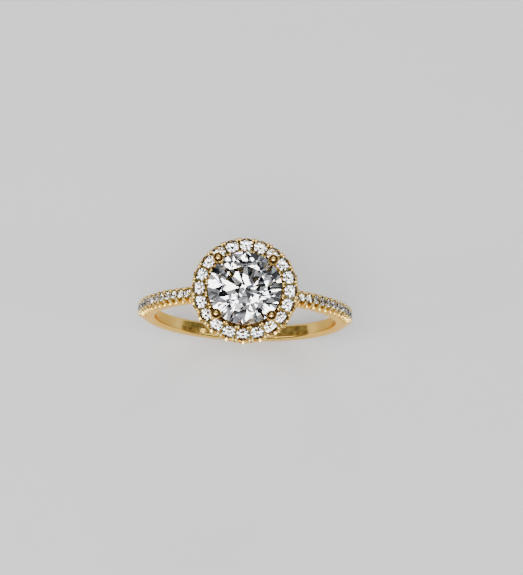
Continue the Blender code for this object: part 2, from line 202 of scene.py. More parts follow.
def ring_polar(radius, angle, height):
    """Points at a distance from the head's axis, an angle from +X and a height."""
    return np.stack([radius * np.cos(angle), radius * np.sin(angle),
                     np.broadcast_to(height, np.broadcast(radius, angle, height).shape)], -1)


def smooth_object(name, mesh):
    """An object whose mesh is shaded smooth, but for edges sharper than 35 degrees."""
    mesh.update()
    mesh.shade_smooth()
    mesh.set_sharp_from_angle(angle=np.radians(35))
    return add_object(name, mesh)


def grid_mesh(name, points, loop_rows=False, loop_columns=False, cap_rows=False, masks=None):
    """A mesh object from an array of points [row, column, xyz], with a quad in each cell.

    A looped direction joins its last line to its first, and cap_rows closes the first and the
    last row with a face each. masks holds point attributes of the grid's shape by name.
    """
    rows, columns = points.shape[:2]
    row_next = np.arange(rows if loop_rows else rows - 1)
    column_next = np.arange(columns if loop_columns else columns - 1)
    i, j = np.meshgrid(row_next, column_next, indexing="ij")
    below, right = (i + 1) % rows, (j + 1) % columns
    corners = [i * columns + j, i * columns + right, below * columns + right, below * columns + j]
    faces = np.stack(corners, -1).reshape(-1, 4).tolist()
    if cap_rows:
        last = (rows - 1) * columns
        faces.append(list(range(columns))[::-1])
        faces.append(list(range(last, last + columns)))
    mesh = bpy.data.meshes.new(name)
    mesh.from_pydata(points.reshape(-1, 3), [], faces)
    for mask_name, mask in (masks or {}).items():
        attribute = mesh.attributes.new(mask_name, "FLOAT", "POINT")
        attribute.data.foreach_set("value", mask.astype(np.float32).ravel())
    return smooth_object(name, mesh)


def settle(piece, material, slot, *nodes):
    """Give a piece its material and its body, and hide the CAD nodes that it stands for. The slot
    is not used.
    """
    piece.data.materials.append(material)
    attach(piece, "root")
    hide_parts(*nodes)
    return piece


def group_socket(tree, name, kind, out=False, value=None):
    """A named socket on a shader node group."""
    socket = tree.interface.new_socket(name, in_out="OUTPUT" if out else "INPUT",
                                       socket_type=f"NodeSocket{kind}")
    if value is not None:
        socket.default_value = value


def math_node(tree, operation, a, b=None, clamp=False):
    """A Math node fed by sockets or numbers."""
    node = tree.nodes.new("ShaderNodeMath")
    node.operation = operation
    node.use_clamp = clamp
    for socket, value in zip(node.inputs, (a, b)):
        if isinstance(value, bpy.types.NodeSocket):
            tree.links.new(value, socket)
        elif value is not None:
            socket.default_value = value
    return node.outputs[0]


def colour_mix(tree, factor, a, b):
    """A colour Mix node fed by sockets or plain colours."""
    node = tree.nodes.new("ShaderNodeMix")
    node.data_type = "RGBA"
    tree.links.new(factor, node.inputs["Factor"])
    for socket, value in ((node.inputs["A"], a), (node.inputs["B"], b)):
        if isinstance(value, bpy.types.NodeSocket):
            tree.links.new(value, socket)
        else:
            socket.default_value = (*value, 1)
    return node.outputs["Result"]


def polished_gold_group():
    """Hand-polished plate: cloudy tone, fine rub marks, and painted shade that darkens and dulls
    hollows.

    Clouds of noise shift the colour between two golds. Stretched noise gives rub marks, which
    move the roughness and the height. The shade mask paints shade over both: it darkens the colour
    and dulls the roughness.
    """
    tree = bpy.data.node_groups.new("polished_gold", "ShaderNodeTree")
    group_socket(tree, "Gold", "Color", value=(0.9, 0.65, 0.3, 1))
    group_socket(tree, "Deep Gold", "Color", value=(0.8, 0.5, 0.2, 1))
    group_socket(tree, "Painted Shade Colour", "Color", value=(0.3, 0.15, 0.04, 1))
    group_socket(tree, "Painted Shade", "Float", value=0.0)
    group_socket(tree, "Polish", "Float", value=0.1)
    group_socket(tree, "Marks", "Float", value=0.1)
    group_socket(tree, "Dulling", "Float", value=0.2)
    group_socket(tree, "Colour", "Color", out=True)
    group_socket(tree, "Roughness", "Float", out=True)
    group_socket(tree, "Height", "Float", out=True)
    inputs = tree.nodes.new("NodeGroupInput").outputs
    outputs = tree.nodes.new("NodeGroupOutput").inputs
    place = tree.nodes.new("ShaderNodeTexCoord").outputs["Object"]

    clouds = tree.nodes.new("ShaderNodeTexNoise")
    clouds.inputs["Scale"].default_value = 700
    clouds.inputs["Detail"].default_value = 3
    tree.links.new(place, clouds.inputs["Vector"])

    stretch = tree.nodes.new("ShaderNodeMapping")
    stretch.inputs["Rotation"].default_value = (0.5, 0.3, 0.7)
    stretch.inputs["Scale"].default_value = (1.0, 0.12, 0.5)
    tree.links.new(place, stretch.inputs["Vector"])
    rubs = tree.nodes.new("ShaderNodeTexNoise")
    rubs.inputs["Scale"].default_value = 26000
    rubs.inputs["Detail"].default_value = 2
    tree.links.new(stretch.outputs["Vector"], rubs.inputs["Vector"])

    shade = colour_mix(tree, clouds.outputs["Fac"], inputs["Gold"], inputs["Deep Gold"])
    # Painted shade: the mask darkens the colour towards the shade colour.
    painted_shade_amount = math_node(tree, "MULTIPLY", inputs["Painted Shade"], 0.93, clamp=True)
    tree.links.new(colour_mix(tree, painted_shade_amount, shade, inputs["Painted Shade Colour"]), outputs["Colour"])
    rubbed = math_node(tree, "MULTIPLY", rubs.outputs["Fac"], inputs["Marks"])
    dulled = math_node(tree, "MULTIPLY", inputs["Painted Shade"], inputs["Dulling"])
    rough = math_node(tree, "ADD", math_node(tree, "ADD", inputs["Polish"], rubbed), dulled)
    tree.links.new(rough, outputs["Roughness"])
    tree.links.new(rubs.outputs["Fac"], outputs["Height"])
    return tree


gold_group = polished_gold_group()


def gold_finish(name, gold, deep_gold, painted_shade_colour, polish, marks, dulling=0.22):
    """A gold material. A mesh attribute marks where shade and dark reflections are painted in, and
    the finish dulled.
    """
    material, tree, shader = plain_material(name)
    shader.inputs["Metallic"].default_value = 1.0
    shader.inputs["Specular Tint"].default_value = (1.0, 0.82, 0.50, 1)
    finish = tree.nodes.new("ShaderNodeGroup")
    finish.node_tree = gold_group
    finish.inputs["Gold"].default_value = (*gold, 1)
    finish.inputs["Deep Gold"].default_value = (*deep_gold, 1)
    finish.inputs["Painted Shade Colour"].default_value = (*painted_shade_colour, 1)
    finish.inputs["Polish"].default_value = polish
    finish.inputs["Marks"].default_value = marks
    finish.inputs["Dulling"].default_value = dulling
    painted_shade = tree.nodes.new("ShaderNodeAttribute")
    painted_shade.attribute_name = "painted_shade"
    tree.links.new(painted_shade.outputs["Fac"], finish.inputs["Painted Shade"])
    bump = tree.nodes.new("ShaderNodeBump")
    bump.inputs["Strength"].default_value = 0.06
    bump.inputs["Distance"].default_value = 0.01 * MM
    tree.links.new(finish.outputs["Colour"], shader.inputs["Base Color"])
    tree.links.new(finish.outputs["Roughness"], shader.inputs["Roughness"])
    tree.links.new(finish.outputs["Height"], bump.inputs["Height"])
    tree.links.new(bump.outputs["Normal"], shader.inputs["Normal"])
    return material


# Its shade colour, nearly black, is painted into the band's U cuts and seats.
band_gold = gold_finish("band_gold", gold=(0.87, 0.59, 0.15), deep_gold=(0.78, 0.47, 0.10),
                        painted_shade_colour=(0.07, 0.034, 0.010), polish=0.09, marks=0.10)


def run_between(points, counts):
    """An open line through points [corner, xy] with that many steps on each stretch."""
    stretches = [np.linspace(a, b, count, endpoint=False)
                 for a, b, count in zip(points, points[1:], counts)]
    return np.concatenate(stretches + [np.array(points[-1:])])


def band_angles():
    """Angles from the ring's top to its bottom: close together at the stones, then wide."""
    start = FIRST_BAND_STONE - 0.5 * BAND_STEP
    cell = np.linspace(-0.5, 0.5, 24, endpoint=False)
    cell = cell + 0.028 * np.sin(4 * np.pi * cell)
    stones = FIRST_BAND_STONE + BAND_STEP * np.arange(BAND_STONES)
    pave = (stones[:, None] + BAND_STEP * cell[None, :]).ravel()
    lead = np.linspace(np.radians(18), start, 8, endpoint=False)
    plain = np.linspace(stones[-1] + 0.5 * BAND_STEP, np.pi, 70)
    return np.concatenate([lead, pave, plain])


def u_cut(along, height, half_width, bottom, start=1.12, full=0.92):
    """1 inside a U-shaped cut, 0 outside it, with soft edges.

    Its sides stand half a width from the middle line, and go soft between the start and full
    shares of it. Its floor is a half circle, so it rises from the bottom by the half width less
    the root of the half width squared less along squared.
    """
    rise = half_width * (1 - np.sqrt(np.clip(1 - (along / half_width) ** 2, 0, 1)))
    within = smooth_step(half_width * start, half_width * full, np.abs(along))
    return within * smooth_step(0.0, CUT_EDGE, height - bottom - rise)


def band_surface(angles, side):
    """One half of the band, carried round the hoop from the basket to the bottom.

    Each section runs from the crest over the edge, down the side and to the middle of the
    inside. The pave section turns into the half round by an S curve of the angle. In a U cut
    the side steps in to the web, and each seat is a cone sunk in the crest. The first columns
    bend to lie against the round base.
    """
    crest = run_between([(0.0, PAVE_RADIUS), (BAND_TOP, PAVE_RADIUS)], [20])
    pave = run_between([(BAND_TOP, PAVE_RADIUS), (BAND_TOP + 0.03 * MM, PAVE_RADIUS - 0.03 * MM),
                        (0.69 * MM, PAVE_RADIUS - 0.54 * MM),
                        (0.71 * MM, PAVE_RADIUS - 0.66 * MM), (BAND_SIDE, PAVE_RADIUS - 0.86 * MM),
                        (BAND_SIDE, FINGER_RADIUS + 0.36 * MM)], [2, 14, 5, 3, 4])
    turn = np.linspace(0, np.pi / 2, 10)[1:]
    inside = np.stack([BAND_SIDE * 0.6 + BAND_SIDE * 0.4 * np.cos(turn),
                       FINGER_RADIUS + 0.36 * MM - 0.34 * MM * np.sin(turn)], -1)
    floor_line = run_between([inside[-1], (0.0, FINGER_RADIUS)], [6])[1:]
    pave = np.concatenate([crest[:-1], pave, inside, floor_line])

    # The half round has the same number of points: an elliptic crest over the same inside.
    outside = len(pave) - len(inside) - len(floor_line)
    arch = np.linspace(0, np.pi / 2, outside)
    half_round = np.stack([BAND_SIDE * np.sin(arch),
                           PLAIN_RADIUS - 0.80 * MM + 0.80 * MM * np.cos(arch)], -1)
    half_round = np.concatenate([half_round, inside, floor_line])

    last_stone = FIRST_BAND_STONE + (BAND_STONES - 1) * BAND_STEP
    plain = smooth_step(last_stone + 0.7 * BAND_STEP, last_stone + 4.7 * BAND_STEP, angles)[:, None]
    width = pave[None, :, 0] * (1 - plain) + half_round[None, :, 0] * plain
    radius = pave[None, :, 1] * (1 - plain) + half_round[None, :, 1] * plain

    number = np.clip(np.round((angles - FIRST_BAND_STONE) / BAND_STEP), 0, BAND_STONES - 1)
    along = ((angles - FIRST_BAND_STONE - number * BAND_STEP) * PAVE_RADIUS)[:, None]

    # U cut: inside its outline the width falls to the web.
    cut_mask = u_cut(along, radius, BAND_CUT_HALF, PAVE_RADIUS - BAND_CUT_DEPTH)
    web = BAND_WEB + (width - BAND_WEB) * WEB_SLOPE
    width = np.where(width > BAND_WEB, width + (web - width) * cut_mask, width)

    # Seat: a cone round each stone's place, under its girdle.
    reach = np.sqrt(along ** 2 + width ** 2)
    on_crest = (np.arange(len(pave)) < len(crest))[None, :]
    seat_radius = BAND_STONE_RADIUS + 0.008 * MM
    sink = np.clip(seat_radius - reach, 0, None) * 0.98 + 0.055 * MM * (reach < seat_radius)
    radius = np.where(on_crest & (plain < 0.5), radius - sink, radius)

    # Between the posts the crest is hollowed a little, so each post stands up by itself.
    saddle = 0.05 * MM * np.cos(np.clip(width / BAND_TOP, 0, 1) * np.pi / 2) ** 2
    radius = np.where(on_crest, radius - saddle * (1 - plain), radius)

    meet = np.arcsin(np.sqrt(np.clip(BASE_RADIUS ** 2 - width ** 2, 0, None)) / radius)
    lead_end = FIRST_BAND_STONE - 0.5 * BAND_STEP
    lead = np.clip((lead_end - angles) / (lead_end - angles[0]), 0, 1)[:, None]
    turned = angles[:, None] + (meet - angles[0]) * lead
    points = np.stack([radius * np.sin(turned), side * width, radius * np.cos(turned)], -1)
    # Painted shade: the seats' rims and the middle of each U cut's back are painted dark, as shade.
    seat_shade = smooth_step(0.0, 0.08 * MM, sink) * on_crest
    core = smooth_step(BAND_CUT_HALF * 0.95, BAND_CUT_HALF * 0.60, np.abs(along))
    painted_shade = np.clip(cut_mask * core * smooth_step(0.60 * MM, 0.45 * MM, width) + seat_shade, 0, 1)
    return points, painted_shade


def build_band():
    """Both sides of the section, then both shoulders, joined in one loop of columns."""
    angles = band_angles()
    near, near_mask = band_surface(angles, -1)
    far, far_mask = band_surface(angles, 1)
    loop = np.concatenate([near, far[:, -2:0:-1]], axis=1)
    mask = np.concatenate([near_mask, far_mask[:, -2:0:-1]], axis=1)
    mirrored = loop[-2::-1] * np.array([-1, 1, 1])
    points = np.concatenate([loop, mirrored])
    masks = {"painted_shade": np.concatenate([mask, mask[-2::-1]])}
    return grid_mesh("band", points, loop_columns=True, cap_rows=True, masks=masks)


settle(build_band(), band_gold, "band_gold", "shank")


def bead_template(segments=12, levels=5, rise=0.60):
    """A bead of unit radius: a burnished dome over a short straight skirt, with a closed pole.

    The dome is half an ellipse, so its points lie at (cos t, rise sin t) of each level t.
    """
    tilt = np.linspace(0, np.pi / 2, levels, endpoint=False)
    reach = np.concatenate([[0.92, 1.0], np.cos(tilt[1:])])
    height = np.concatenate([[-1.6, 0.0], rise * np.sin(tilt[1:])])
    around = np.arange(segments) * 2 * np.pi / segments
    rings = ring_polar(reach[:, None], around[None, :], height[:, None]).reshape(-1, 3)
    points = np.concatenate([rings, [[0, 0, rise], [0, 0, height[0]]]])
    pole, foot = len(rings), len(rings) + 1
    i, j = np.meshgrid(np.arange(len(reach) - 1), np.arange(segments), indexing="ij")
    after = (j + 1) % segments
    quads = np.stack([i * segments + j, i * segments + after, (i + 1) * segments + after,
                      (i + 1) * segments + j], -1).reshape(-1, 4).tolist()
    top = (len(reach) - 1) * segments
    tips = [(top + k, top + (k + 1) % segments, pole) for k in range(segments)]
    feet = [((k + 1) % segments, k, foot) for k in range(segments)]
    return points, quads + tips + feet


def scatter(name, template, frames):
    """Copies of a template [points, faces] in one mesh, one for each 4x4 frame."""
    points, faces = template
    frames = np.asarray(frames)
    moved = np.einsum("nij,pj->npi", frames[:, :3, :3], points) + frames[:, None, :3, 3]
    copies = [tuple(c + k * len(points) for c in face)
              for k in range(len(frames)) for face in faces]
    mesh = bpy.data.meshes.new(name)
    mesh.from_pydata(moved.reshape(-1, 3), [], copies)
    return smooth_object(name, mesh)


def frame_matrix(place, out, along, size):
    """A 4x4 frame at place whose Z points out and whose X lies along, scaled to (x, y, z)."""
    out = out / np.linalg.norm(out)
    across = np.cross(out, along)
    across /= np.linalg.norm(across)
    matrix = np.eye(4)
    matrix[:3, :3] = np.stack([np.cross(across, out), across, out], -1) * np.asarray(size)
    matrix[:3, 3] = place
    return matrix


# The band's beads stand at the top of each post, on both edges, and lap over two stones.
BAND_BEAD = 0.135 * MM
chance = np.random.default_rng(7)


def band_bead_frames():
    """A frame for each post's bead, half a step from the stones, leaning a little inward."""
    frames = []
    for side in (1, -1):
        for edge in (1, -1):
            for gap in range(BAND_STONES + 1):
                angle = side * (FIRST_BAND_STONE + (gap - 0.5) * BAND_STEP)
                out = np.array([np.sin(angle), 0, np.cos(angle)])
                along = np.array([np.cos(angle), 0, -np.sin(angle)])
                place = out * (PAVE_RADIUS + 0.005 * MM) + np.array([0, edge * 0.425 * MM, 0])
                place = place + along * chance.normal(0, 0.008 * MM)
                size = BAND_BEAD * (1 + chance.normal(0, 0.05))
                lean = out - np.array([0, edge * 0.12, 0])
                frames.append(frame_matrix(place, lean, along, (size, size * 1.15, size * 0.9)))
    return frames


bead_gold = gold_finish("bead_gold", gold=(0.95, 0.77, 0.32), deep_gold=(0.88, 0.64, 0.20),
                        painted_shade_colour=(0.17, 0.08, 0.015), polish=0.07, marks=0.06)
band_beads = scatter("band_beads", bead_template(), band_bead_frames())
band_beads.data.materials.append(bead_gold)
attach(band_beads, "root")

# ---- Basket -----------------------------------------------------------------------------------
# A round base, its foot hollowed to the finger, joins the band's two ends and carries the claws.
# Half way up, a rail ties the claws. Both are turned, cast with the claws and plated.

basket_gold = gold_finish("basket_gold", gold=(0.86, 0.58, 0.22), deep_gold=(0.72, 0.44, 0.14),
                          painted_shade_colour=(0.10, 0.05, 0.015), polish=0.09, marks=0.12)
base_low, base_high = (np.array(corner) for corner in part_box("gallery_base"))
rail_low, rail_high = (np.array(corner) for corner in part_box("gallery_rail"))


def rounded_section(inner, outer, low, high, corner, steps=6):
    """A closed rectangle outline (radius, height) whose corners are quarter circles."""
    turn = np.linspace(0, np.pi / 2, steps)
    pieces = []
    left, right, bottom, top = inner + corner, outer - corner, low + corner, high - corner
    quarters = ((right, top, 0.0), (left, top, 0.5), (left, bottom, 1.0), (right, bottom, 1.5))
    for cx, cz, start in quarters:
        t = turn + start * np.pi
        pieces.append(np.stack([cx + corner * np.cos(t), cz + corner * np.sin(t)], -1))
    return np.concatenate(pieces)[::-1]


def turned_piece(name, section, segments, foot=None, painted_shade=None):
    """A section (radius, height) turned round the head's axis.

    Points below the foot height are moved onto the finger's cylinder: height is the root of
    the finger radius squared less x squared.
    """
    around = np.arange(segments) * 2 * np.pi / segments
    points = ring_polar(section[None, :, 0], around[:, None], section[None, :, 1])
    if foot is not None:
        hollow = np.sqrt(FINGER_RADIUS ** 2 - points[..., 0] ** 2)
        depth = np.clip((foot - points[..., 2]) / (foot - section[:, 1].min()), 0, 1)
        points[..., 2] += (hollow - section[:, 1].min()) * depth
    mask = np.zeros(points.shape[:2]) if painted_shade is None else painted_shade(points)
    return grid_mesh(name, points, loop_rows=True, loop_columns=True, masks={"painted_shade": mask})


base_section = rounded_section(1.60 * MM, base_high[0], base_low[2], base_high[2], 0.10 * MM)
base_piece = turned_piece("basket_base", base_section, 96, foot=8.75 * MM)
settle(base_piece, basket_gold, "basket_gold", "gallery_base")
rail_section = rounded_section(1.90 * MM, rail_high[0], rail_low[2], rail_high[2], 0.15 * MM)
rail_piece = turned_piece("basket_rail", rail_section, 96)
settle(rail_piece, basket_gold, "basket_gold", "gallery_rail")

# ---- Claws ------------------------------------------------------------------------------------
# Four round wires rise from the base through the halo and over the centre stone's girdle. A
# cup burr has rounded each tip into a ball. A dark ring round the ball's top is a painted
# reflection of the dim room, and the wire lower down has a painted shadow.

# Its shade colour paints the dark ring round each ball's top and the shadow on the wire.
claw_gold = gold_finish("claw_gold", gold=(0.93, 0.66, 0.23), deep_gold=(0.84, 0.54, 0.15),
                        painted_shade_colour=(0.09, 0.035, 0.010), polish=0.19, marks=0.04, dulling=-0.12)
CLAW_WIRE = 0.38 * MM
CLAW_BALL = 0.48 * MM
CLAW_FOOT = np.array([2.05, 9.20]) * MM
CLAW_SHOULDER = np.array([3.20, 10.90]) * MM
CLAW_TIP = np.array([3.48, 11.93]) * MM
CLAW_BEND = 0.30 * MM
CLAW_LEAN = np.radians(10)
PAINTED_RING_START = np.radians(22)      # the painted dark ring, as angles from the ball's highest point
PAINTED_RING_END = np.radians(58)
CLAW_ANGLES = {"ne": 46, "nw": 134, "sw": 226, "se": 314}


def claw_line():
    """Points, ways and radii of a claw, from its foot to its pole, in (distance, height).

    A straight leg, then a cubic curve over the girdle, then the circles of a ball whose radius
    at an angle t from the pole is the ball's radius times sin t.
    """
    leg = (CLAW_SHOULDER - CLAW_FOOT) / np.linalg.norm(CLAW_SHOULDER - CLAW_FOOT)
    lean = np.array([-np.sin(CLAW_LEAN), np.cos(CLAW_LEAN)])
    waist = np.sqrt(CLAW_BALL ** 2 - CLAW_WIRE ** 2)
    end = CLAW_TIP - lean * waist
    straight = np.linspace(CLAW_FOOT, CLAW_SHOULDER, 12, endpoint=False)
    t = np.linspace(0, 1, 16)[:, None]
    first, second = CLAW_SHOULDER + leg * CLAW_BEND, end - lean * CLAW_BEND
    bend = ((1 - t) ** 3 * CLAW_SHOULDER + 3 * (1 - t) ** 2 * t * first
            + 3 * (1 - t) * t ** 2 * second + t ** 3 * end)
    polar_angle = np.linspace(np.arccos(-waist / CLAW_BALL), 0.02, 40)[1:]
    ball = CLAW_TIP + lean * CLAW_BALL * np.cos(polar_angle)[:, None]
    line = np.concatenate([straight, bend, ball])
    way = np.gradient(line, axis=0)
    way /= np.linalg.norm(way, axis=1)[:, None]
    way[len(straight) + len(bend):] = lean
    wire = np.full(len(straight) + len(bend), CLAW_WIRE)
    radius = np.concatenate([wire, CLAW_BALL * np.sin(polar_angle)])
    return line, way, radius


def build_claw(name, angle):
    """Circles square to the claw's line, 28 points round, with both ends closed.

    A dark ring is painted round each ball's top as a painted reflection, between two S curves of
    the angle whose cosine is the height above the ball's centre over its radius. Lower down, the
    wire is painted darker as a painted shadow.
    """
    line, way, radius = claw_line()
    around = np.arange(28) * 2 * np.pi / 28
    outward = np.array([np.cos(angle), np.sin(angle), 0])
    sideways = np.array([-np.sin(angle), np.cos(angle), 0])
    up = np.array([0, 0, 1.0])
    centre = line[:, :1] * outward + line[:, 1:] * up
    across = way[:, 1:] * outward - way[:, :1] * up
    around = around[None, :, None]
    spokes = np.cos(around) * across[:, None] + np.sin(around) * sideways
    points = centre[:, None] + spokes * radius[:, None, None]
    # Painted shadow on the lower wire, and a painted dark reflection in a ring round the ball's
    # top.
    shadow = 0.6 * smooth_step(11.25 * MM, 10.9 * MM, points[..., 2])
    tilt = np.arccos(np.clip((points[..., 2] - CLAW_TIP[1]) / CLAW_BALL, -1, 1))
    painted_ring = smooth_step(PAINTED_RING_START - 0.06, PAINTED_RING_START + 0.08, tilt)
    painted_ring = painted_ring * smooth_step(PAINTED_RING_END + 0.08, PAINTED_RING_END - 0.08, tilt)
    mask = np.clip(shadow + painted_ring, 0, 1)
    return grid_mesh(name, points, loop_columns=True, cap_rows=True, masks={"painted_shade": mask})


for corner_name, degrees in CLAW_ANGLES.items():
    claw = build_claw(f"claw_wire_{corner_name}", np.radians(degrees))
    settle(claw, claw_gold, "claw_gold", f"claw_{corner_name}")

# ---- Halo -------------------------------------------------------------------------------------
# A round plate with twenty seats. U cuts open its outer wall below each stone, and the posts
# between them are split in two, so every stone has a pair of beads at each end of each post.

# Its shade colour, a golden brown, is painted into the halo's seats, cuts, notches and grooves.
halo_gold = gold_finish("halo_gold", gold=(0.91, 0.66, 0.22), deep_gold=(0.80, 0.51, 0.12),
                        painted_shade_colour=(0.34, 0.19, 0.045), polish=0.06, marks=0.09)
halo_low, halo_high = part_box("halo_plate")
HALO_STONES = 20
HALO_STEP = 2 * np.pi / HALO_STONES
HALO_PITCH = 4.05 * MM
HALO_STONE_RADIUS = 0.565 * MM
HALO_TOP = halo_high[2]
HALO_BOTTOM = halo_low[2]
HALO_INNER = 3.08 * MM
HALO_EDGE = 4.60 * MM
HALO_LIP = halo_high[0]
HALO_LIP_HEIGHT = 10.32 * MM
HALO_FOOT = 4.42 * MM
HALO_CUT_HALF = 0.42 * MM
HALO_CUT_BOTTOM = 10.34 * MM
HALO_WEB = 4.30 * MM              # how far in the U cuts go
SWELL_LENGTH = 0.30 * MM          # half sizes of the lip's swelling below each stone
SWELL_HEIGHT = 0.16 * MM
SWELL_DEPTH = 0.09 * MM
NOTCH_HALF = 0.30 * MM            # half the width of the notches in the inner edge
NOTCH_BOTTOM = 10.58 * MM
NOTCH_WEB = 3.56 * MM             # how far out the notches go


def halo_columns():
    """Angles round the halo, a little closer together at the edges of each U cut."""
    cell = np.linspace(-0.5, 0.5, 40, endpoint=False)
    cell = cell + 0.020 * np.sin(4 * np.pi * cell)
    return (HALO_STEP * (np.arange(HALO_STONES)[:, None] + cell[None, :])).ravel()


def halo_surface():
    """The plate's section, turned round the axis and cut by the stones' places.

    The section runs from the inner top edge over the top, down the flared wall and back up the
    inside. In a U cut the wall steps in to the web, and a smaller notch opens the inner edge in
    the same way. Below each U the lip swells into a low half ball. A fine groove splits each
    post, and each seat is a cone sunk in the top.
    """
    top = run_between([(HALO_INNER, HALO_TOP), (3.60 * MM, HALO_TOP), (HALO_EDGE, HALO_TOP)],
                      [20, 30])
    wall = run_between([(HALO_EDGE, HALO_TOP), (HALO_EDGE + 0.02 * MM, HALO_TOP - 0.03 * MM),
                        (HALO_LIP - 0.01 * MM, HALO_LIP_HEIGHT + 0.06 * MM),
                        (HALO_LIP, HALO_LIP_HEIGHT),
                        (HALO_LIP - 0.02 * MM, HALO_LIP_HEIGHT - 0.07 * MM),
                        (HALO_FOOT + 0.04 * MM, HALO_BOTTOM + 0.04 * MM), (HALO_FOOT, HALO_BOTTOM)],
                       [2, 16, 3, 3, 7, 2])
    under = run_between([(HALO_FOOT, HALO_BOTTOM), (HALO_INNER + 0.03 * MM, HALO_BOTTOM),
                         (HALO_INNER, HALO_BOTTOM + 0.03 * MM), (HALO_INNER, 10.50 * MM),
                         (HALO_INNER, HALO_TOP)], [8, 2, 6, 12])
    section = np.concatenate([top[:-1], wall[:-1], under[:-1]])
    angles = halo_columns()
    near_stone = np.round(angles / HALO_STEP) * HALO_STEP
    radius = np.broadcast_to(section[None, :, 0], (len(angles), len(section))).copy()
    height = np.broadcast_to(section[None, :, 1], radius.shape).copy()
    along = radius * np.sin(angles - near_stone)[:, None]
    on_top = (np.arange(len(section)) < len(top))[None, :]

    cut_mask = u_cut(along, height, HALO_CUT_HALF, HALO_CUT_BOTTOM, start=1.10, full=0.94)
    web = HALO_WEB + (radius - HALO_WEB) * WEB_SLOPE
    radius = np.where(radius > HALO_WEB, radius + (web - radius) * cut_mask, radius)

    off_lip = (along / SWELL_LENGTH) ** 2 + ((height - HALO_LIP_HEIGHT) / SWELL_HEIGHT) ** 2
    swell = np.sqrt(np.clip(1 - off_lip, 0, 1)) * (radius > HALO_WEB)
    radius = radius + SWELL_DEPTH * swell

    notch_mask = u_cut(along, height, NOTCH_HALF, NOTCH_BOTTOM, start=1.15, full=0.90)
    web = NOTCH_WEB + (radius - NOTCH_WEB) * WEB_SLOPE
    radius = np.where(radius < NOTCH_WEB, radius + (web - radius) * notch_mask, radius)

    post = np.abs(np.abs(along) - HALO_EDGE * np.sin(HALO_STEP / 2))
    split = smooth_step(0.09 * MM, 0.02 * MM, post) * smooth_step(10.30 * MM, 10.45 * MM, height)
    split = split * smooth_step(HALO_EDGE - 0.16 * MM, HALO_EDGE - 0.06 * MM, radius)
    radius = radius - 0.13 * MM * split

    reach = np.hypot(radius * np.cos(angles - near_stone)[:, None] - HALO_PITCH, along)
    seat_radius = HALO_STONE_RADIUS + 0.01 * MM
    sink = np.clip(seat_radius - reach, 0, None) * 0.95 + 0.05 * MM * (reach < seat_radius)
    height = np.where(on_top, height - sink, height)
    points = ring_polar(radius, angles[:, None], height)
    # Painted shade: the seats' rims, the backs of the U cuts and notches and each post's groove are
    # painted dark.
    seat_shade = smooth_step(0.0, 0.12 * MM, sink) * on_top
    painted_shade = cut_mask * smooth_step(4.66 * MM, 4.42 * MM, radius) + seat_shade + split
    painted_shade = np.clip(painted_shade + notch_mask * smooth_step(3.10 * MM, 3.40 * MM, radius), 0, 1)
    return points, painted_shade


halo_points, halo_painted_shade = halo_surface()
halo_piece = grid_mesh("halo_frame", halo_points, loop_rows=True, loop_columns=True,
                       masks={"painted_shade": halo_painted_shade})
settle(halo_piece, halo_gold, "halo_gold", "halo_plate")


# Each post's outer and inner pair: how far out, half the gap between their middles, and size.
HALO_BEAD_PAIRS = ((4.55 * MM, 0.155 * MM, 0.150 * MM), (3.41 * MM, 0.125 * MM, 0.135 * MM))


def halo_bead_frames():
    """Two beads at both ends of each post, side by side, each leaning towards its stone."""
    frames = []
    for gap in range(HALO_STONES):
        middle = (gap + 0.5) * HALO_STEP
        for radius, apart, size in HALO_BEAD_PAIRS:
            for side in (1, -1):
                angle = middle + side * apart / radius + chance.normal(0, 0.012 * MM) / radius
                out = np.array([np.cos(angle), np.sin(angle), 0])
                along = np.array([-np.sin(angle), np.cos(angle), 0])
                place = out * radius + np.array([0, 0, HALO_TOP + 0.03 * MM])
                grown = size * (1 + chance.normal(0, 0.05))
                lean = np.array([0, 0, 1.0]) + 0.15 * side * along
                frames.append(frame_matrix(place, lean, along, (grown, grown * 1.1, grown)))
    return frames


halo_beads = scatter("halo_beads", bead_template(), halo_bead_frames())
halo_beads.data.materials.append(bead_gold)
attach(halo_beads, "root")

# ---- Centre stone -----------------------------------------------------------------------------
# A round brilliant of clear cubic zirconia with 57 polished facets and a bruted girdle. It sits
# in notches cut in the four claws.

TABLE_RATIO = 0.57
CROWN_SLOPE = np.tan(np.radians(34.5))
PAVILION_SLOPE = np.tan(np.radians(40.8))
LOWER_HALF = 0.23
EIGHTH = np.pi / 4


def plane_heights(a, b, c, xy):
    """Heights over points xy of the planes through three corners, for arrays of each."""
    normal = np.cross(b - a, c - a)
    gap = xy - a[..., :2]
    fall = normal[..., 0] * gap[..., 0] + normal[..., 1] * gap[..., 1]
    return a[..., 2] - fall / normal[..., 2]


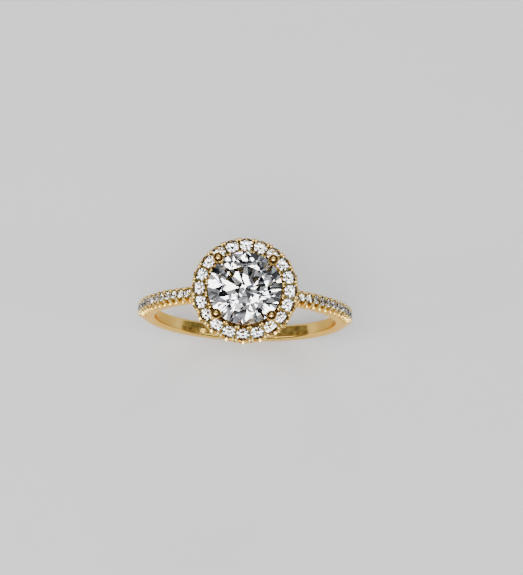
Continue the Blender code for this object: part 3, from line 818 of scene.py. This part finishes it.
def brilliant(radius, girdle, chords, slip=0.0, seed=0):
    """Points and faces of a round brilliant about the origin, with its table towards +Z.

    Bezels and mains keep the crown and pavilion slopes, so a point on one lies at half the
    girdle plus (radius - r cos t) times the slope. The other facets hang between their corners,
    and each girdle point lies where its facet's plane meets the round side. The star and lower
    corners are out of place by up to the slip, as on a stone that is cut by hand.
    """
    table_r = TABLE_RATIO * radius
    star_r = (table_r * np.cos(EIGHTH / 2) + radius) / 2
    low_r = LOWER_HALF * radius
    eight = np.arange(8)
    table_z = girdle / 2 + (radius - table_r) * CROWN_SLOPE
    star_z = girdle / 2 + (radius - star_r * np.cos(EIGHTH / 2)) * CROWN_SLOPE
    low_z = -girdle / 2 - (radius - low_r * np.cos(EIGHTH / 2)) * PAVILION_SLOPE
    table = ring_polar(table_r, eight * EIGHTH, table_z)
    star = ring_polar(star_r, (eight + 0.5) * EIGHTH, star_z)
    low = ring_polar(low_r, (eight + 0.5) * EIGHTH, low_z)
    hand = np.random.default_rng(seed)
    star = star + hand.uniform(-slip, slip, star.shape)
    low = low + hand.uniform(-slip, slip, low.shape)
    culet = np.array([[0, 0, -girdle / 2 - radius * PAVILION_SLOPE]])

    count = 16 * chords
    step = np.arange(count)
    facet, sector = step // chords, step // (2 * chords)
    around = step * EIGHTH / 2 / chords
    rings = []
    for level, apex in ((girdle / 2, star), (-girdle / 2, low)):
        a = ring_polar(radius, facet * EIGHTH / 2, level)
        b = ring_polar(radius, (facet + 1) * EIGHTH / 2, level)
        flat = ring_polar(radius, around, 0.0)
        flat[:, 2] = plane_heights(a, b, apex[sector], flat[:, :2])
        rings.append(flat)
    points = np.concatenate([table, star, low, culet, rings[0], rings[1]])
    star_at, low_at, culet_at, rim, keel = 8, 16, 24, 25, 25 + count

    faces = [tuple(range(8))]
    for k in range(8):
        after, before, corner = (k + 1) % 8, (k - 1) % 8, 2 * chords * k
        faces.append((k, star_at + k, after))
        faces.append((star_at + before, rim + corner, star_at + k, k))
        faces.append((low_at + k, keel + corner, low_at + before, culet_at))
        for half in range(2):
            span = [(corner + half * chords + c) % count for c in range(chords + 1)]
            faces.append((star_at + k, *(rim + i for i in span)))
            faces.append((low_at + k, *(keel + i for i in reversed(span))))
    belt = [(keel + i, keel + (i + 1) % count, rim + (i + 1) % count, rim + i)
            for i in range(count)]
    return points, faces, belt


def fire_group():
    """Painted fire: each facet gets a tint that stands in for the coloured flashes of dispersion.
    Most are clear, and a few lean to blue, violet or straw.

    The facet input is a number from 0 to 1 that a ramp of stops turns into a colour.
    """
    tree = bpy.data.node_groups.new("facet_fire", "ShaderNodeTree")
    group_socket(tree, "Facet", "Float", value=0.0)
    group_socket(tree, "Fire", "Float", value=0.5)
    group_socket(tree, "Clear", "Color", value=(1, 1, 1, 1))
    group_socket(tree, "Colour", "Color", out=True)
    inputs = tree.nodes.new("NodeGroupInput").outputs
    outputs = tree.nodes.new("NodeGroupOutput").inputs
    ramp = tree.nodes.new("ShaderNodeValToRGB")
    ramp.color_ramp.interpolation = "CONSTANT"
    stops = [(0.0, (1, 1, 1)), (0.46, (0.80, 0.91, 1.0)), (0.64, (0.90, 0.85, 1.0)),
             (0.74, (1.0, 0.96, 0.82)), (0.86, (0.84, 1.0, 0.95)), (0.93, (1.0, 0.88, 0.78))]
    elements = ramp.color_ramp.elements
    while len(elements) < len(stops):
        elements.new(0.5)
    for element, (position, colour) in zip(elements, stops):
        element.position = position
        element.color = (*colour, 1)
    tree.links.new(inputs["Facet"], ramp.inputs["Fac"])
    tint = colour_mix(tree, inputs["Fire"], inputs["Clear"], ramp.outputs["Color"])
    tree.links.new(tint, outputs["Colour"])
    return tree


facet_fire = fire_group()


def stone_finish(name, fire, ior, clear=(1, 1, 1)):
    """Clear polished stone. The mesh's facet attribute picks each facet's tint of painted fire."""
    material, tree, shader = plain_material(name)
    shader.inputs["Transmission Weight"].default_value = 1.0
    shader.inputs["Roughness"].default_value = 0.0
    shader.inputs["IOR"].default_value = ior
    facet = tree.nodes.new("ShaderNodeAttribute")
    facet.attribute_name = "facet"
    tint = tree.nodes.new("ShaderNodeGroup")
    tint.node_tree = facet_fire
    tint.inputs["Fire"].default_value = fire
    tint.inputs["Clear"].default_value = (*clear, 1)
    tree.links.new(facet.outputs["Fac"], tint.inputs["Facet"])
    tree.links.new(tint.outputs["Colour"], shader.inputs["Base Color"])
    return material


def girdle_finish(name):
    """The fine ground edge of a stone: clear but matt, with grain."""
    material, tree, shader = plain_material(name)
    shader.inputs["Transmission Weight"].default_value = 1.0
    shader.inputs["IOR"].default_value = 2.15
    grain = tree.nodes.new("ShaderNodeTexNoise")
    grain.inputs["Scale"].default_value = 30000
    place = tree.nodes.new("ShaderNodeTexCoord")
    tree.links.new(place.outputs["Object"], grain.inputs["Vector"])
    rough = math_node(tree, "MULTIPLY", grain.outputs["Fac"], 0.5)
    tree.links.new(rough, shader.inputs["Roughness"])
    tint = colour_mix(tree, grain.outputs["Fac"], (0.80, 0.83, 0.86), (0.97, 0.98, 1.0))
    tree.links.new(tint, shader.inputs["Base Color"])
    return material


def stone_piece(name, points, faces, belt, seed):
    """A flat-faceted stone whose belt faces have the second material slot."""
    mesh = bpy.data.meshes.new(name)
    mesh.from_pydata(points, [], faces + belt)
    mesh.update()
    mesh.shade_flat()
    tints = np.random.default_rng(seed).random(len(faces) + len(belt))
    attribute = mesh.attributes.new("facet", "FLOAT", "FACE")
    attribute.data.foreach_set("value", tints.astype(np.float32))
    slots = np.concatenate([np.zeros(len(faces), int), np.ones(len(belt), int)])
    mesh.polygons.foreach_set("material_index", slots)
    return add_object(name, mesh)


CENTRE_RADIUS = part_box("centre_stone")[1][0]
CENTRE_GIRDLE = 0.22 * MM
CENTRE_HEIGHT = 11.40 * MM
centre_clear = stone_finish("centre_stone_clear", fire=0.8, ior=2.17)
bruted = girdle_finish("bruted_girdle")
centre_points, centre_faces, centre_belt = brilliant(CENTRE_RADIUS, CENTRE_GIRDLE, 6, 0.03 * MM, 5)
centre_points = centre_points + np.array([0, 0, CENTRE_HEIGHT])
centre = stone_piece("centre_brilliant", centre_points, centre_faces, centre_belt, seed=3)
settle(centre, centre_clear, "centre_stone", "centre_stone")
centre.data.materials.append(bruted)

# ---- Halo stones ------------------------------------------------------------------------------
# Twenty small brilliants of the same material, each set by hand, so no two face quite the same
# way. Beads hold their edges.

melee_clear = stone_finish("melee_clear", fire=0.5, ior=2.17)
HALO_STONE_GIRDLE = 0.04 * MM
small_points, small_faces, small_belt = brilliant(HALO_STONE_RADIUS, HALO_STONE_GIRDLE, 2)


def turned_by(points, spin, tilt_x, tilt_y):
    """Points turned about Z, then tilted by small angles about X and Y."""
    turn = Matrix.Rotation(tilt_y, 3, "Y") @ Matrix.Rotation(tilt_x, 3, "X")
    return points @ np.array(turn @ Matrix.Rotation(spin, 3, "Z")).T


for number in range(HALO_STONES):
    angle = number * HALO_STEP
    tilt_x, tilt_y = chance.normal(0, np.radians(1.3), 2)
    spin = angle + chance.uniform(0, EIGHTH)
    place = ring_polar(HALO_PITCH, np.array(angle), HALO_TOP - HALO_STONE_GIRDLE / 2)
    points = turned_by(small_points, spin, tilt_x, tilt_y) + place
    stone = stone_piece(f"halo_brilliant_{number + 1:02d}", points, small_faces, small_belt, number)
    settle(stone, melee_clear, "melee_stones", f"halo_stone_{number + 1:02d}")
    stone.data.materials.append(bruted)

# ---- Band stones ------------------------------------------------------------------------------
# Thirteen small single-cut stones on each shoulder: an octagonal table with eight facets above
# and eight below. The beads on the posts hold them.

# The warm tint is a painted reflection of the gold round these stones.
band_stone_painted_reflection = stone_finish("band_stone_painted_reflection", fire=0.25, ior=2.17, clear=(1.0, 0.91, 0.72))
BAND_STONE_GIRDLE = 0.03 * MM
BAND_GIRDLE_RADIUS = PAVE_RADIUS - 0.04 * MM


def single_cut(radius, girdle):
    """Points and faces of a single-cut stone: rings of eight for table, rim and keel."""
    around = np.arange(8) * EIGHTH
    table_r = TABLE_RATIO * radius
    levels = [(table_r, girdle / 2 + (radius - table_r) * CROWN_SLOPE), (radius, girdle / 2),
              (radius, -girdle / 2)]
    rings = [ring_polar(r, around, z) for r, z in levels]
    points = np.concatenate(rings + [[[0, 0, -girdle / 2 - radius * PAVILION_SLOPE]]])
    crown = [(8 + k, 8 + (k + 1) % 8, (k + 1) % 8, k) for k in range(8)]
    belt = [(16 + k, 16 + (k + 1) % 8, 8 + (k + 1) % 8, 8 + k) for k in range(8)]
    mains = [(16 + (k + 1) % 8, 16 + k, 24) for k in range(8)]
    return points, [tuple(range(8))] + crown + mains, belt


tiny_points, tiny_faces, tiny_belt = single_cut(BAND_STONE_RADIUS, BAND_STONE_GIRDLE)
for side_name, side in (("right", 1), ("left", -1)):
    for number in range(BAND_STONES):
        angle = side * (FIRST_BAND_STONE + number * BAND_STEP)
        tilt_x, tilt_y = chance.normal(0, np.radians(1.6), 2)
        local = turned_by(tiny_points, chance.uniform(0, EIGHTH), tilt_x, tilt_y)
        local = local + np.array([0, 0, BAND_GIRDLE_RADIUS])
        points = local @ np.array(Matrix.Rotation(angle, 3, "Y")).T
        name = f"band_single_cut_{side_name}_{number + 1:02d}"
        stone = stone_piece(name, points, tiny_faces, tiny_belt, 100 + number + 20 * (side < 0))
        settle(stone, band_stone_painted_reflection, "melee_stones", f"band_stone_{side_name}_{number + 1:02d}")
        stone.data.materials.append(bruted)
